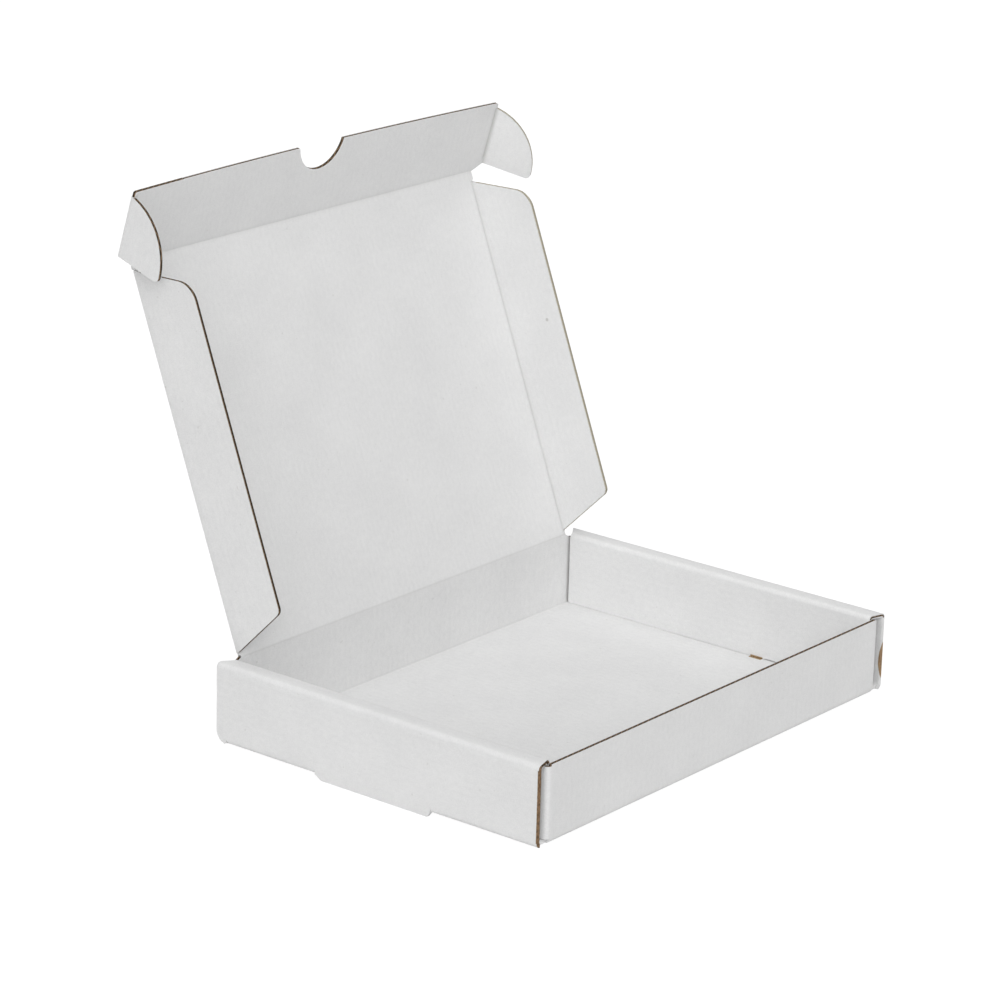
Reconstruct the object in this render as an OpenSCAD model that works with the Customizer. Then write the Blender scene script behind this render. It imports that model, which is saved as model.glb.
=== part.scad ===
// Letterbox mailer box: one die-cut sheet of white micro-flute board, folded up and standing open.
// The side walls roll over and lock in the base. The lid has two side flaps that go inside the tray,
// and a front flap whose two ears slide into the side walls from the front.
// The frame: X to the right along the front wall, Y to the back, Z up. The origin is the middle of
// the base's underside.

/* [Board] */
// Thickness of the board
board_t = 1.6; // [1.2:0.1:2]
// Inside radius of a folded edge of the tray
fold_r = 0.4; // [0.3:0.1:1.2]
// Gap beside the rounded edge of a panel that swings
crease_gap = 0.25; // [0.15:0.05:0.4]

/* [Tray] */
// Width over the two side walls
tray_w = 220; // [180:1:320]
// Depth over the front and back walls
tray_d = 154; // [130:1:220]
// Height of the side walls
tray_h = 32; // [31:0.5:45]
// Distance of the front wall's edge below the top of the side walls
front_drop = 1.4; // [1.2:0.1:4]
// Width of a rolled side wall, over its outer and inner walls
roll_w = 8.4; // [7.8:0.1:12]
// How far a side wall runs past the back wall
rear_reach = 1.4; // [0:0.1:3]
// How far the front edge of a side wall stays behind the front wall
front_setback = 0.5; // [0.3:0.1:2]
// Length of the tabs that the front and back walls tuck into the side walls
corner_tab_l = 30; // [15:1:50]
// Radius of the free corners of those tabs
corner_tab_r = 4; // [1:0.5:8]
// Radius of the lower back corner of a side wall
rear_corner_r = 5; // [3:0.5:8]

/* [Locks] */
// Length of the slot in the base that takes the inner wall's tab
slot_l = 50; // [30:1:80]
// Play of the tab across its slot, on each side
slot_play = 0.3; // [0.2:0.05:0.6]
// Play of the tab along its slot, at the front end
lock_play = 6; // [1:0.5:8]
// Length of the tongue below an outer wall, along its free edge
tongue_l = 51; // [30:1:80]
// Depth of the tongue below the base
tongue_depth = 1.8; // [0.5:0.1:2.5]
// Slope of the tongue's back end, along the wall
tongue_slope = 3.3; // [0.5:0.1:6]
// Slope of the tongue's front end, along the wall
tongue_step = 1.4; // [0.5:0.1:6]

/* [Lid] */
// How far the lid stands open from closed, in degrees
lid_open = 111; // [0:1:180]
// Height of the lid's fold below the top of the side walls
hinge_drop = 0.2; // [0:0.1:1]
// Play of the closed lid beside each inner wall, at its side folds
lid_play = 1.2; // [1:0.1:3]
// How far the front fold of the lid stays in front of the front wall
lid_overhang = 2.2; // [1.4:0.1:4]

/* [Side flaps] */
// Width of a side flap
side_flap_w = 28; // [15:0.5:28.5]
// Fold of the side flaps from the lid's plane, in degrees
side_flap_fold = 88.5; // [0:0.5:90]
// Slope of a side flap's front edge: the share of its width that it moves back along the lid
side_front_share = 0.36; // [0.2:0.02:0.6]
// Slope of a side flap's back edge: the share of its width that it moves forward along the lid
side_back_share = 0.44; // [0.2:0.02:0.6]
// Radius of a side flap's front corner
side_front_r = 9; // [3:0.5:12]
// Radius of a side flap's back corner
side_back_r = 3; // [1:0.5:6]

/* [Front flap] */
// Length of the front flap
front_flap_l = 30; // [28:0.5:31]
// Fold of the front flap from the lid's plane, in degrees
front_flap_fold = 37.5; // [0:0.5:90]
// Radius of the thumb notch
notch_r = 12.2; // [8:0.2:16]
// Radius of the front flap's free corners
front_flap_r = 0.8; // [0.4:0.1:1]

/* [Ears] */
// Distance of the ear's straight edge from the lid's front fold
ear_start = 2.8; // [2.6:0.1:5]
// Length of the ear's fold
ear_fold_l = 25; // [18:0.1:25.2]
// Flare of the ear's straight edge towards its tip, in degrees
ear_flare = 1.8; // [0:0.2:2.5]
// Distance of the centre of the ear's curve from its straight edge
ear_lead = 1; // [0:0.1:3]
// Distance of the centre of the ear's curve behind its fold
ear_sink = 3; // [0:0.1:6]
// Radius of the ear's tip
ear_tip_r = 2; // [1:0.5:6]
// Play between a closed ear and the outer wall
ear_play = 0.6; // [0.4:0.1:1.2]
// Fold of the left ear from the front flap's plane, in degrees
left_ear_fold = 89; // [0:0.5:90]
// Fold of the right ear from the front flap's plane, in degrees
right_ear_fold = 62.5; // [0:0.5:90]

/* [Hidden] */
$fn = 64;
arc_steps = 16;
board_colour = [0.9, 0.9, 0.89];
flap_colour = [0.84, 0.84, 0.83];

// Clearance between layers of board that lie beside each other
layer_gap = 0.2;
// Clearance between a closed panel and the wall beside it
panel_gap = 0.5;
// Overrun of every cut
over = 1;

// Folds: the outer radius of a bend, and the place of a panel's edge beside a fold's axis
bend_r = fold_r + board_t;
half_t = board_t/2;
edge_gap = half_t + crease_gap;

// Places across the tray: the faces of a rolled side wall, and of the corner tabs inside it
outer_x = tray_w/2;
inner_x = outer_x - roll_w;
tab_x = inner_x + 2*board_t + layer_gap;
cross_x = tab_x - bend_r;

// Places along the tray: the ends of the side walls, of their inner walls and of their lower bends
front_y = -tray_d/2;
back_y = tray_d/2;
wall_front_y = front_y + front_setback;
wall_back_y = back_y + rear_reach;
inner_front_y = front_y + board_t + panel_gap;
inner_back_y = back_y - board_t - panel_gap;
bend_back_y = wall_back_y - rear_corner_r;
tongue_front_y = -tongue_l/2;
tongue_back_y = tongue_l/2;
root_front_y = tongue_front_y - tongue_step;
root_back_y = tongue_back_y + tongue_slope;

// How far the tongue reaches into the base while the sheet is flat
tongue_cut = bend_r + tongue_depth - (bend_r - half_t)*PI/2;

// Heights
hinge_y = back_y - half_t;
hinge_z = tray_h - hinge_drop;
front_top = tray_h - front_drop;
back_top = hinge_z - edge_gap;
tab_bottom = board_t + panel_gap;
tab_top = tray_h - board_t - panel_gap;

// Lid: its length from the hinge to the front fold, and half widths at its folds
lid_l = hinge_y - front_y + lid_overhang;
lid_x = inner_x - lid_play;
side_axis_x = lid_x - half_t;

// Ends of the side flaps along the lid, clear of the back and front walls when it is closed
side_back_s = edge_gap + panel_gap;
side_front_s = hinge_y - inner_front_y - layer_gap;

// Ears: the axis of their folds, and the circles of their outline
ear_axis_x = outer_x - board_t - ear_play - half_t;
ear_end = ear_start + ear_fold_l;
ear_centre = [-ear_sink, -ear_start - ear_lead];
ear_r = norm([ear_sink, ear_fold_l - ear_lead]);
ear_edge = [cos(ear_flare), sin(ear_flare)];
ear_root = [0, -ear_start] + ear_tip_r*[ear_edge.y, -ear_edge.x];
ear_off = ear_root - ear_centre;
ear_run = sqrt(pow(ear_off*ear_edge, 2) - ear_off*ear_off + pow(ear_r - ear_tip_r, 2)) - ear_off*ear_edge;
ear_tip = ear_root + ear_run*ear_edge;
ear_tip_turn = atan2(ear_tip.y - ear_centre.y, ear_tip.x - ear_centre.x);
ear_end_turn = atan2(ear_lead - ear_fold_l, ear_sink);

function unit(v) = v/norm(v);

// Points along an arc, from one angle to another
function arc(centre, r, from, to) = [
    for (i = [0:arc_steps])
        let (a = from + (to - from)*i/arc_steps)
        centre + r*[cos(a), sin(a)]
];

// The arc that rounds the corner p of an outline that turns left, between its neighbours a and b
function corner(a, p, b, r) =
    let (
        u = unit(a - p),
        v = unit(b - p),
        half = acos(u*v)/2,
        centre = p + unit(u + v)*r/sin(half),
        start = p + u*r/tan(half) - centre,
        from = atan2(start.y, start.x)
    )
    arc(centre, r, from, from + 180 - 2*half);

// An outline with its corners rounded, where a radius is given
function rounded(points, radii) = [
    for (i = [0:len(points) - 1])
        let (n = len(points), r = radii[i])
        each r > 0 ? corner(points[(i + n - 1) % n], points[i], points[(i + 1) % n], r) : [points[i]]
];

// A right half outline, run from the front to the back, with its mirror image
function mirrored(points) = concat(
    points,
    [for (i = [len(points) - 1:-1:0]) [-points[i].x, points[i].y]]
);

// A section in the X and Z plane, drawn out along Y
module along_y(from, to) {
    translate([0, to, 0])
        rotate([90, 0, 0])
            linear_extrude(to - from)
                children();
}

// A section in the Y and Z plane, drawn out along X
module along_x(from, to) {
    translate([from, 0, 0])
        rotate([90, 0, 90])
            linear_extrude(to - from)
                children();
}

// A quarter bend of the board in the quadrant that the turn gives, about the bend's centre
module bend(turn) {
    rotate(turn)
        intersection() {
            difference() {
                circle(bend_r);
                circle(fold_r);
            }
            square(bend_r);
        }
}

// A flat panel in the middle plane of its board
module panel(points) {
    translate([0, 0, -half_t])
        linear_extrude(board_t)
            polygon(points);
}

// The rounded edge of a swinging panel, along X or along -Y from a fold's axis
module bead_x(half_length) {
    rotate([0, 90, 0])
        cylinder(h = 2*half_length, r = half_t, center = true);
}

module bead_y(from, to) {
    translate([0, -from, 0])
        rotate([90, 0, 0])
            cylinder(h = to - from, r = half_t);
}

// Base with the slots that the inner walls lock into, and the room that the tongues are cut from
module base() {
    x = outer_x - bend_r;
    y = back_y - bend_r;
    difference() {
        translate([-x, -y, 0])
            cube([2*x, 2*y, board_t]);
        for (side = [0, 1])
            mirror([side, 0, 0]) {
                translate([inner_x - slot_play, -slot_l/2, -over])
                    cube([board_t + 2*slot_play, slot_l, board_t + 2*over]);
                translate([x - tongue_cut, root_front_y, -over])
                    cube([tongue_cut + over, root_back_y - root_front_y, board_t + 2*over]);
            }
    }
}

// Outer side wall, bent up from the base on both sides of its tongue
module outer_wall() {
    for (run = [[wall_front_y, root_front_y], [root_back_y, bend_back_y]])
        along_y(run[0], run[1])
            translate([outer_x - bend_r, bend_r])
                bend(-90);
    along_x(outer_x - board_t, outer_x) {
        difference() {
            polygon(rounded(
                [
                    [root_front_y, 0],
                    [wall_back_y, 0],
                    [wall_back_y, tray_h - bend_r],
                    [wall_front_y, tray_h - bend_r],
                    [wall_front_y, bend_r],
                    [root_front_y, bend_r]
                ],
                [0, rear_corner_r, 0, 0, 0, 0]
            ));
            translate([root_back_y, -over])
                square([bend_back_y - root_back_y, bend_r + over]);
        }
        polygon([
            [tongue_front_y, -tongue_depth],
            [tongue_back_y, -tongue_depth],
            [root_back_y, 0],
            [root_front_y, 0]
        ]);
    }
}

// Rolled top and inner wall, cut back at both ends behind the front and back walls
module rolled_wall() {
    difference() {
        along_y(wall_front_y, wall_back_y) {
            translate([outer_x - bend_r, tray_h - bend_r])
                bend(0);
            translate([inner_x + bend_r, tray_h - board_t])
                square([roll_w - 2*bend_r, board_t]);
            translate([inner_x + bend_r, tray_h - bend_r])
                bend(90);
            translate([inner_x, board_t])
                square([board_t, tray_h - bend_r - board_t]);
        }
        for (end = [[wall_front_y, inner_front_y, -over], [wall_back_y, inner_back_y, over]])
            linear_extrude(tray_h + over)
                polygon([
                    [outer_x - board_t, end[0] + end[2]],
                    [outer_x - board_t, end[0]],
                    [inner_x + board_t, end[1]],
                    [inner_x - over, end[1]],
                    [inner_x - over, end[0] + end[2]]
                ]);
    }
    translate([inner_x, lock_play - slot_l/2, slot_play])
        cube([board_t, slot_l - lock_play - slot_play, board_t - slot_play]);
}

// Front or back wall with its two corner tabs, drawn as the front one
module cross_wall(top) {
    along_x(-cross_x, cross_x) {
        translate([front_y + bend_r, bend_r])
            bend(180);
        translate([front_y, bend_r])
            square([board_t, top - bend_r]);
    }
    for (side = [0, 1])
        mirror([side, 0, 0]) {
            translate([cross_x, front_y + bend_r, bend_r])
                linear_extrude(tab_top - bend_r)
                    bend(-90);
            along_x(tab_x - board_t, tab_x)
                polygon(rounded(
                    [
                        [front_y + bend_r, tab_bottom],
                        [front_y + bend_r + corner_tab_l, tab_bottom],
                        [front_y + bend_r + corner_tab_l, tab_top],
                        [front_y + bend_r, tab_top]
                    ],
                    [0, corner_tab_r, corner_tab_r, 0]
                ));
        }
}

module tray() {
    color(board_colour) {
        base();
        cross_wall(front_top);
        mirror([0, 1, 0])
            cross_wall(back_top);
        for (side = [0, 1])
            mirror([side, 0, 0]) {
                outer_wall();
                rolled_wall();
            }
    }
}

// The lid's own frame: its hinge is the X axis, and the closed lid lies along -Y
module on_lid() {
    translate([0, hinge_y, hinge_z])
        rotate([-lid_open, 0, 0])
            children();
}

// The front flap's own frame: its fold is the X axis, and the flap lies along -Y
module on_front_flap() {
    on_lid()
        translate([0, -lid_l, 0])
            rotate([front_flap_fold, 0, 0])
                children();
}

module lid() {
    neck_x = side_axis_x - edge_gap;
    color(board_colour)
        on_lid() {
            bead_x(side_axis_x);
            panel(mirrored([
                [lid_x, edge_gap - lid_l],
                [lid_x, -side_front_s - panel_gap],
                [neck_x, -side_front_s - panel_gap],
                [neck_x, -edge_gap],
                [side_axis_x, -edge_gap],
                [side_axis_x, 0]
            ]));
        }
}

// Right side flap in the lid's frame; the left one is its mirror image
module side_flap() {
    translate([side_axis_x, 0, 0])
        rotate([0, side_flap_fold, 0]) {
            bead_y(side_back_s, side_front_s);
            panel(rounded(
                [
                    [0, -side_front_s],
                    [side_flap_w, side_front_share*side_flap_w - side_front_s],
                    [side_flap_w, -side_back_share*side_flap_w - side_back_s],
                    [0, -side_back_s]
                ],
                [0, side_front_r, side_back_r, 0]
            ));
        }
}

module left_side_flap() {
    color(flap_colour)
        on_lid()
            mirror([1, 0, 0])
                side_flap();
}

module right_side_flap() {
    color(flap_colour)
        on_lid()
            side_flap();
}

module front_flap() {
    waist_x = ear_axis_x - edge_gap;
    color(flap_colour)
        on_front_flap() {
            bead_x(lid_x);
            difference() {
                panel(rounded(
                    mirrored([
                        [ear_axis_x, -front_flap_l],
                        [ear_axis_x, -ear_end - panel_gap],
                        [waist_x, -ear_end - panel_gap],
                        [waist_x, panel_gap - ear_start],
                        [lid_x, 0]
                    ]),
                    [front_flap_r, 0, 0, 0, 0, 0, 0, 0, 0, front_flap_r]
                ));
                translate([0, -front_flap_l, 0])
                    cylinder(h = board_t + 2*over, r = notch_r, center = true);
            }
        }
}

// Right ear in the front flap's frame; the left one is its mirror image
module ear(fold) {
    translate([ear_axis_x, 0, 0])
        rotate([0, fold, 0]) {
            bead_y(ear_start, ear_end);
            panel(concat(
                [[0, -ear_start]],
                arc(ear_tip, ear_tip_r, 90 + ear_flare, ear_tip_turn),
                arc(ear_centre, ear_r, ear_tip_turn, ear_end_turn)
            ));
        }
}

module left_ear() {
    color(board_colour)
        on_front_flap()
            mirror([1, 0, 0])
                ear(left_ear_fold);
}

module right_ear() {
    color(board_colour)
        on_front_flap()
            ear(right_ear_fold);
}

tray();
lid();
left_side_flap();
right_side_flap();
front_flap();
left_ear();
right_ear();
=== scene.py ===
"""White letterbox mailer box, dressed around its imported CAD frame.

Each panel is cut flat from corrugated board, built up as two white liners around a brown fluted core, and
then folded to its place. Lengths are in millimetres until a panel is placed, and in metres from then on.
"""

from __future__ import annotations

import logging
import math
from dataclasses import dataclass, field
from enum import Enum
from typing import Any, Callable, Iterable, Sequence

import bmesh
import bpy
from mathutils import Matrix, Vector

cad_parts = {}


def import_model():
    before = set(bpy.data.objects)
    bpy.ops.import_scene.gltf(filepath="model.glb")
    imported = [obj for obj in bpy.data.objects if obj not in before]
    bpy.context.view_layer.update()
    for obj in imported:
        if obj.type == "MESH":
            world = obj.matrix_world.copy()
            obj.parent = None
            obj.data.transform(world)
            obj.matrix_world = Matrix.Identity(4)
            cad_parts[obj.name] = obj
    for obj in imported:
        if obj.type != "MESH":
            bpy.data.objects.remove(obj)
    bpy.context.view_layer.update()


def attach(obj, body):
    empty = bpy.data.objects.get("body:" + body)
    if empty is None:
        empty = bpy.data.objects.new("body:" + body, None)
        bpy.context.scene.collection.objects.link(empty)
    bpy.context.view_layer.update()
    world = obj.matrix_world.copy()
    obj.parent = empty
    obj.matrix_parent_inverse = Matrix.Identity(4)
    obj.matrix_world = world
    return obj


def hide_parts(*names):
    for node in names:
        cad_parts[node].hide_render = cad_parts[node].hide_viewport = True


log = logging.getLogger("mailer_box")

MM = 0.001
TINY = 1e-3
SNAP = 1e-5
WELD = 1e-4
SHARP = math.radians(28)
WHITE = (1.0, 1.0, 1.0, 1.0)

Colour = tuple[float, float, float]
Place = tuple[float, float, float]
Point = tuple[float, float]
Rect = tuple[float, float, float, float]


def holds(rect: Rect, spot: Vector) -> bool:
    """Whether a flat point lies in a rectangle of low x, high x, low y and high y."""
    return rect[0] < spot.x < rect[1] and rect[2] < spot.y < rect[3]


class Slot(Enum):
    """Material slots of every panel."""

    LINER = 0
    CORE = 1
    PRESSED = 2
    TORN = 3
    BITTEN = 4
    PINCHED = 5
    WORN = 6


class Hand(Enum):
    """Side of the box that a flap or an ear is on, seen from the front."""

    LEFT = -1
    RIGHT = 1

    @property
    def cut(self) -> Slot:
        """Finish of the cut edges on that side: open on the left, and pressed pale on the right."""
        return Slot.CORE if self is Hand.LEFT else Slot.PRESSED

    def swing(self, frame: Matrix, reach: float, fold: float) -> Matrix:
        """Frame of a panel that is folded by so many degrees, at a reach from the middle of another frame."""
        turn = Matrix.Rotation(math.radians(fold), 4, "Y")
        return frame @ Matrix.Scale(self.value, 4, (1, 0, 0)) @ Matrix.Translation((reach, 0, 0)) @ turn


class Across(Enum):
    """Flat axis that a fold or a cut line stands across."""

    X = 0
    Y = 1

    @property
    def normal(self) -> Vector:
        """Unit vector across the line."""
        return Vector((1, 0, 0)) if self is Across.X else Vector((0, 1, 0))

    @property
    def other(self) -> int:
        """Index of the axis along the line."""
        return 1 - self.value


class Facing(Enum):
    """Faces of a flat sheet: its cut edges, its upper side and its under side."""

    EDGE = 0
    UPPER = 1
    UNDER = -1


class Value:
    """A shader socket that takes part in Python expressions."""

    def __init__(self, recipe: Recipe, socket: bpy.types.NodeSocket) -> None:
        """Wrap a socket of a recipe's node tree."""
        self.recipe = recipe
        self.socket = socket

    def _math(self, operation: str, *inputs: Any) -> Value:
        """Output of a new Math node with that operation and those inputs in order."""
        node = self.recipe.node("ShaderNodeMath", {"operation": operation}, dict(enumerate(inputs)))
        return Value(self.recipe, node.outputs[0])

    def __add__(self, other: Any) -> Value:
        """Sum with a number or a value."""
        return self._math("ADD", self, other)

    def __radd__(self, other: Any) -> Value:
        """Sum with a number on the left."""
        return self._math("ADD", other, self)

    def __sub__(self, other: Any) -> Value:
        """Difference from a number or a value."""
        return self._math("SUBTRACT", self, other)

    def __rsub__(self, other: Any) -> Value:
        """Difference of a number on the left."""
        return self._math("SUBTRACT", other, self)

    def __mul__(self, other: Any) -> Value:
        """Product with a number or a value."""
        return self._math("MULTIPLY", self, other)

    def __rmul__(self, other: Any) -> Value:
        """Product with a number on the left."""
        return self._math("MULTIPLY", other, self)

    def __truediv__(self, other: Any) -> Value:
        """Quotient by a number or a value."""
        return self._math("DIVIDE", self, other)

    def __abs__(self) -> Value:
        """Absolute value."""
        return self._math("ABSOLUTE", self)

    def sine(self) -> Value:
        """Sine of a value in radians."""
        return self._math("SINE", self)

    def at_most(self, other: Any) -> Value:
        """Smaller of two values."""
        return self._math("MINIMUM", self, other)

    def at_least(self, other: Any) -> Value:
        """Larger of two values."""
        return self._math("MAXIMUM", self, other)

    def step(self, start: float, end: float) -> Value:
        """Smooth step from 0 at the start level to 1 at the end level."""
        sockets = {"Value": self, "From Min": start, "From Max": end}
        ramp = self.recipe.node("ShaderNodeMapRange", {"interpolation_type": "SMOOTHSTEP"}, sockets)
        return Value(self.recipe, ramp.outputs[0])


class Recipe:
    """The node tree of a material or of the sky."""

    def __init__(self, owner: bpy.types.Material | bpy.types.World) -> None:
        """Start an empty node tree on a material or a world."""
        owner.use_nodes = True
        self.owner = owner
        self.tree = owner.node_tree
        self.tree.nodes.clear()

    def node(self, kind: str, settings: dict[str, Any], sockets: dict[Any, Any]) -> bpy.types.Node:
        """Add a node of any kind.

        Args:
            kind: The node's type name.
            settings: Attributes that are set first.
            sockets: Values or links of its inputs, by name or number.

        Returns:
            The new node.
        """
        made = self.tree.nodes.new(kind)
        for name, setting in settings.items():
            setattr(made, name, setting)
        for key, content in sockets.items():
            source = content.socket if isinstance(content, Value) else content
            if isinstance(source, bpy.types.NodeSocket):
                self.tree.links.new(source, made.inputs[key])
            else:
                made.inputs[key].default_value = source
        return made

    def attribute(self, name: str) -> bpy.types.Node:
        """Attribute node for one of the panel's own attributes."""
        return self.node("ShaderNodeAttribute", {"attribute_name": name}, {})

    def stretched(self, vector: bpy.types.NodeSocket, factors: Sequence[float]) -> bpy.types.NodeSocket:
        """Vector with each part multiplied by its own factor."""
        sockets = {0: vector, 1: tuple(factors)}
        return self.node("ShaderNodeVectorMath", {"operation": "MULTIPLY"}, sockets).outputs[0]

    def noise(self, vector: bpy.types.NodeSocket, size: float, detail: float, rough: float = 0.5) -> Value:
        """Noise between 0 and 1 with features of that size, and finer octaves with a rough weight."""
        sockets = {"Vector": vector, "Scale": 1 / size, "Detail": detail, "Roughness": rough}
        return Value(self, self.node("ShaderNodeTexNoise", {}, sockets).outputs[0])

    def parts(self, vector: bpy.types.NodeSocket) -> tuple[Value, Value, Value]:
        """The three parts of a vector as values."""
        split = self.node("ShaderNodeSeparateXYZ", {}, {0: vector})
        return Value(self, split.outputs[0]), Value(self, split.outputs[1]), Value(self, split.outputs[2])

    def mix(self, factor: Value, low: Any, high: Any) -> bpy.types.NodeSocket:
        """Mix of two colours, the low one where the factor is 0 and the high one where it is 1."""
        first, second = ((*end, 1.0) if isinstance(end, tuple) else end for end in (low, high))
        return self.node("ShaderNodeMix", {"data_type": "RGBA"}, {0: factor, 6: first, 7: second}).outputs[2]

    def bump(self, height: Value, strength: float, distance: float) -> bpy.types.NodeSocket:
        """Normal of a bump of that height, strength and distance in metres."""
        sockets = {"Height": height, "Strength": strength, "Distance": distance}
        return self.node("ShaderNodeBump", {}, sockets).outputs[0]

    def seen(self) -> Value:
        """1 on rays that show the background, straight, mirrored or through glass, and 0 on other rays."""
        rays = self.node("ShaderNodeLightPath", {}, {}).outputs
        straight = Value(self, rays["Is Camera Ray"])
        return straight.at_least(rays["Is Glossy Ray"]).at_least(rays["Is Transmission Ray"])

    def surface(self, sockets: dict[str, Any]) -> bpy.types.Material:
        """Close the recipe with a Principled shader.

        Args:
            sockets: Values or links of the shader's inputs.

        Returns:
            The finished material.
        """
        shader = self.node("ShaderNodeBsdfPrincipled", {}, sockets)
        self.node("ShaderNodeOutputMaterial", {}, {"Surface": shader.outputs[0]})
        return self.owner

    def bare_paper(self, colour: bpy.types.NodeSocket, fuzz: Value, height: Value) -> bpy.types.Material:
        """Close the recipe with rough brown paper of that colour, fuzz and height."""
        return self.surface({
            "Base Color": colour,
            "Roughness": 0.86 + (fuzz - 0.5) * 0.12,
            "Specular IOR Level": 0.15,
            "Normal": self.bump(height, 0.6, 0.0002),
        })


@dataclass(frozen=True)
class Board:
    """White micro-flute board: its layers, and how it bends."""

    thickness: float = 1.6
    liner: float = 0.1
    bend_radius: float = 2.0
    bend_steps: int = 6
    bead_steps: int = 10
    bead_sink: float = 0.03
    crease_reach: float = 2.4
    hinge_reach: float = 0.9
    # Strengths of the score line and painted shade at each kind of fold, and the share of them on the outer
    # face.
    hinge_crease_shade: float = 0.4
    flap_crease_shade: float = 0.45
    side_crease_shade: float = 0.8
    ear_crease_shade: float = 1.0
    outer_crease_shade: float = 0.15
    flute_pitch: float = 3.21

    @property
    def half(self) -> float:
        """Half of the board's thickness."""
        return self.thickness / 2

    @property
    def seat(self) -> Matrix:
        """Shift that puts the middle of a flat sheet's thickness at level 0."""
        return Matrix.Translation((0, 0, -self.half))

    @property
    def arc(self) -> float:
        """Length of a quarter bend along the middle of the board."""
        return (self.bend_radius - self.half) * math.pi / 2


@dataclass(frozen=True)
class LinerFinish:
    """Uncoated white liner with a soft fibre mottle over the faint ribs of the fluting."""

    board: Board
    name: str = "white_liner"
    pale: Colour = (0.815, 0.815, 0.812)
    dull: Colour = (0.715, 0.715, 0.716)
    speck: Colour = (0.46, 0.45, 0.43)
    # Colour of the score lines along the folds, darkened further as painted shade.
    crease_shade: Colour = (0.5, 0.5, 0.485)
    spot: Colour = (0.42, 0.41, 0.39)
    spot_place: Point = (120.5, 195.0)
    spot_radius: float = 0.9
    spot_share: float = 0.6
    cloud_size: float = 26.0
    cloud_weight: float = 0.8
    fibre_size: float = 1.5
    fibre_stretch: float = 0.6
    fibre_weight: float = 1.15
    grain_size: float = 0.45
    grain_weight: float = 1.5
    rib_weight: float = 0.035
    speck_size: float = 1.75
    speck_levels: Point = (0.83, 0.89)
    speck_share: float = 0.25
    roughness: float = 0.70
    roughness_swing: float = 0.2
    gloss: float = 0.25
    relief: float = 0.00012
    relief_strength: float = 0.25

    def material(self) -> bpy.types.Material:
        """Material of both faces of the board."""
        recipe = Recipe(bpy.data.materials.new(self.name))
        place = recipe.attribute("sheet").outputs["Vector"]
        across, along, depth = recipe.parts(place)
        cloud = recipe.noise(place, self.cloud_size, 2.0)
        laid = recipe.stretched(place, (1.0, self.fibre_stretch, 4.0))
        fibre = recipe.noise(laid, self.fibre_size, 4.0, 0.6)
        grain = recipe.noise(place, self.grain_size, 2.0)
        ribs = (across * (2 * math.pi / self.board.flute_pitch)).sine()
        tone = 0.5 + (cloud - 0.5) * self.cloud_weight + (fibre - 0.5) * self.fibre_weight
        tone = tone + (grain - 0.5) * self.grain_weight + ribs * self.rib_weight
        paper = recipe.mix(tone.at_least(0.0).at_most(1.0), self.dull, self.pale)
        fleck = recipe.noise(place, self.speck_size, 0.0).step(*self.speck_levels) * self.speck_share
        flecked = recipe.mix(fleck, paper, self.speck)
        off_x, off_y = across - self.spot_place[0], along - self.spot_place[1]
        near = 1 - ((off_x * off_x + off_y * off_y) / self.spot_radius ** 2).step(0.3, 1.0)
        spotted = recipe.mix(near * (1 - depth.step(0.4, 0.6)) * self.spot_share, flecked, self.spot)
        # Score lines along the folds with painted shade, at the strength that each fold gives its vertices.
        pressed = Value(recipe, recipe.attribute("crease_shade").outputs["Fac"])
        crease_shade_mask = pressed.step(0.1, 1.0) * (0.75 + 0.25 * fibre)
        colour = recipe.mix(crease_shade_mask, spotted, self.crease_shade)
        height = fibre * 0.6 + grain * 0.3 + ribs * 0.12
        return recipe.surface({
            "Base Color": colour,
            "Roughness": self.roughness + (fibre - 0.5) * self.roughness_swing,
            "Specular IOR Level": self.gloss,
            "Normal": recipe.bump(height, self.relief_strength, self.relief),
        })


@dataclass(frozen=True)
class CoreFinish:
    """Brown kraft core of the board at a cut edge: the wave of the fluting, with painted shade in the open
    hollows beside it.
    """

    board: Board
    name: str = "kraft_core"
    kraft: Colour = (0.26, 0.175, 0.105)
    fibre: Colour = (0.16, 0.105, 0.064)
    # Painted shade of the open flute hollows.
    hollow_shade: Colour = (0.035, 0.023, 0.014)
    liner: Colour = (0.74, 0.74, 0.735)
    pinch_share: float = 0.12
    wave_share: float = 0.30
    ribbon_share: float = 0.17
    fuzz_size: float = 0.5

    def material(self) -> bpy.types.Material:
        """Material of the cut edges between the liners."""
        recipe = Recipe(bpy.data.materials.new(self.name))
        place = recipe.attribute("sheet").outputs["Vector"]
        across, _, depth = recipe.parts(place)
        fuzz = recipe.noise(place, self.fuzz_size, 3.0, 0.6)
        wave = (across * (2 * math.pi / self.board.flute_pitch)).sine() * self.wave_share
        off = abs(depth - 0.5 - wave + (fuzz - 0.5) * 0.12)
        ribbon = 1 - off.step(self.ribbon_share * 0.7, self.ribbon_share * 1.4)
        paper = recipe.mix(fuzz.step(0.35, 0.68), self.fibre, self.kraft)
        # Painted shade in the hollows between the ribbons of fluting.
        colour = recipe.mix(ribbon, self.hollow_shade, paper)
        if self.pinch_share:
            rim = 0.5 - self.pinch_share
            pinched = (abs(depth - 0.5) + (fuzz - 0.5) * 0.1).step(rim - 0.04, rim + 0.04)
            colour = recipe.mix(pinched, colour, self.liner)
        return recipe.bare_paper(colour, fuzz, ribbon * 0.8 + fuzz * 0.4)


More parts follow.
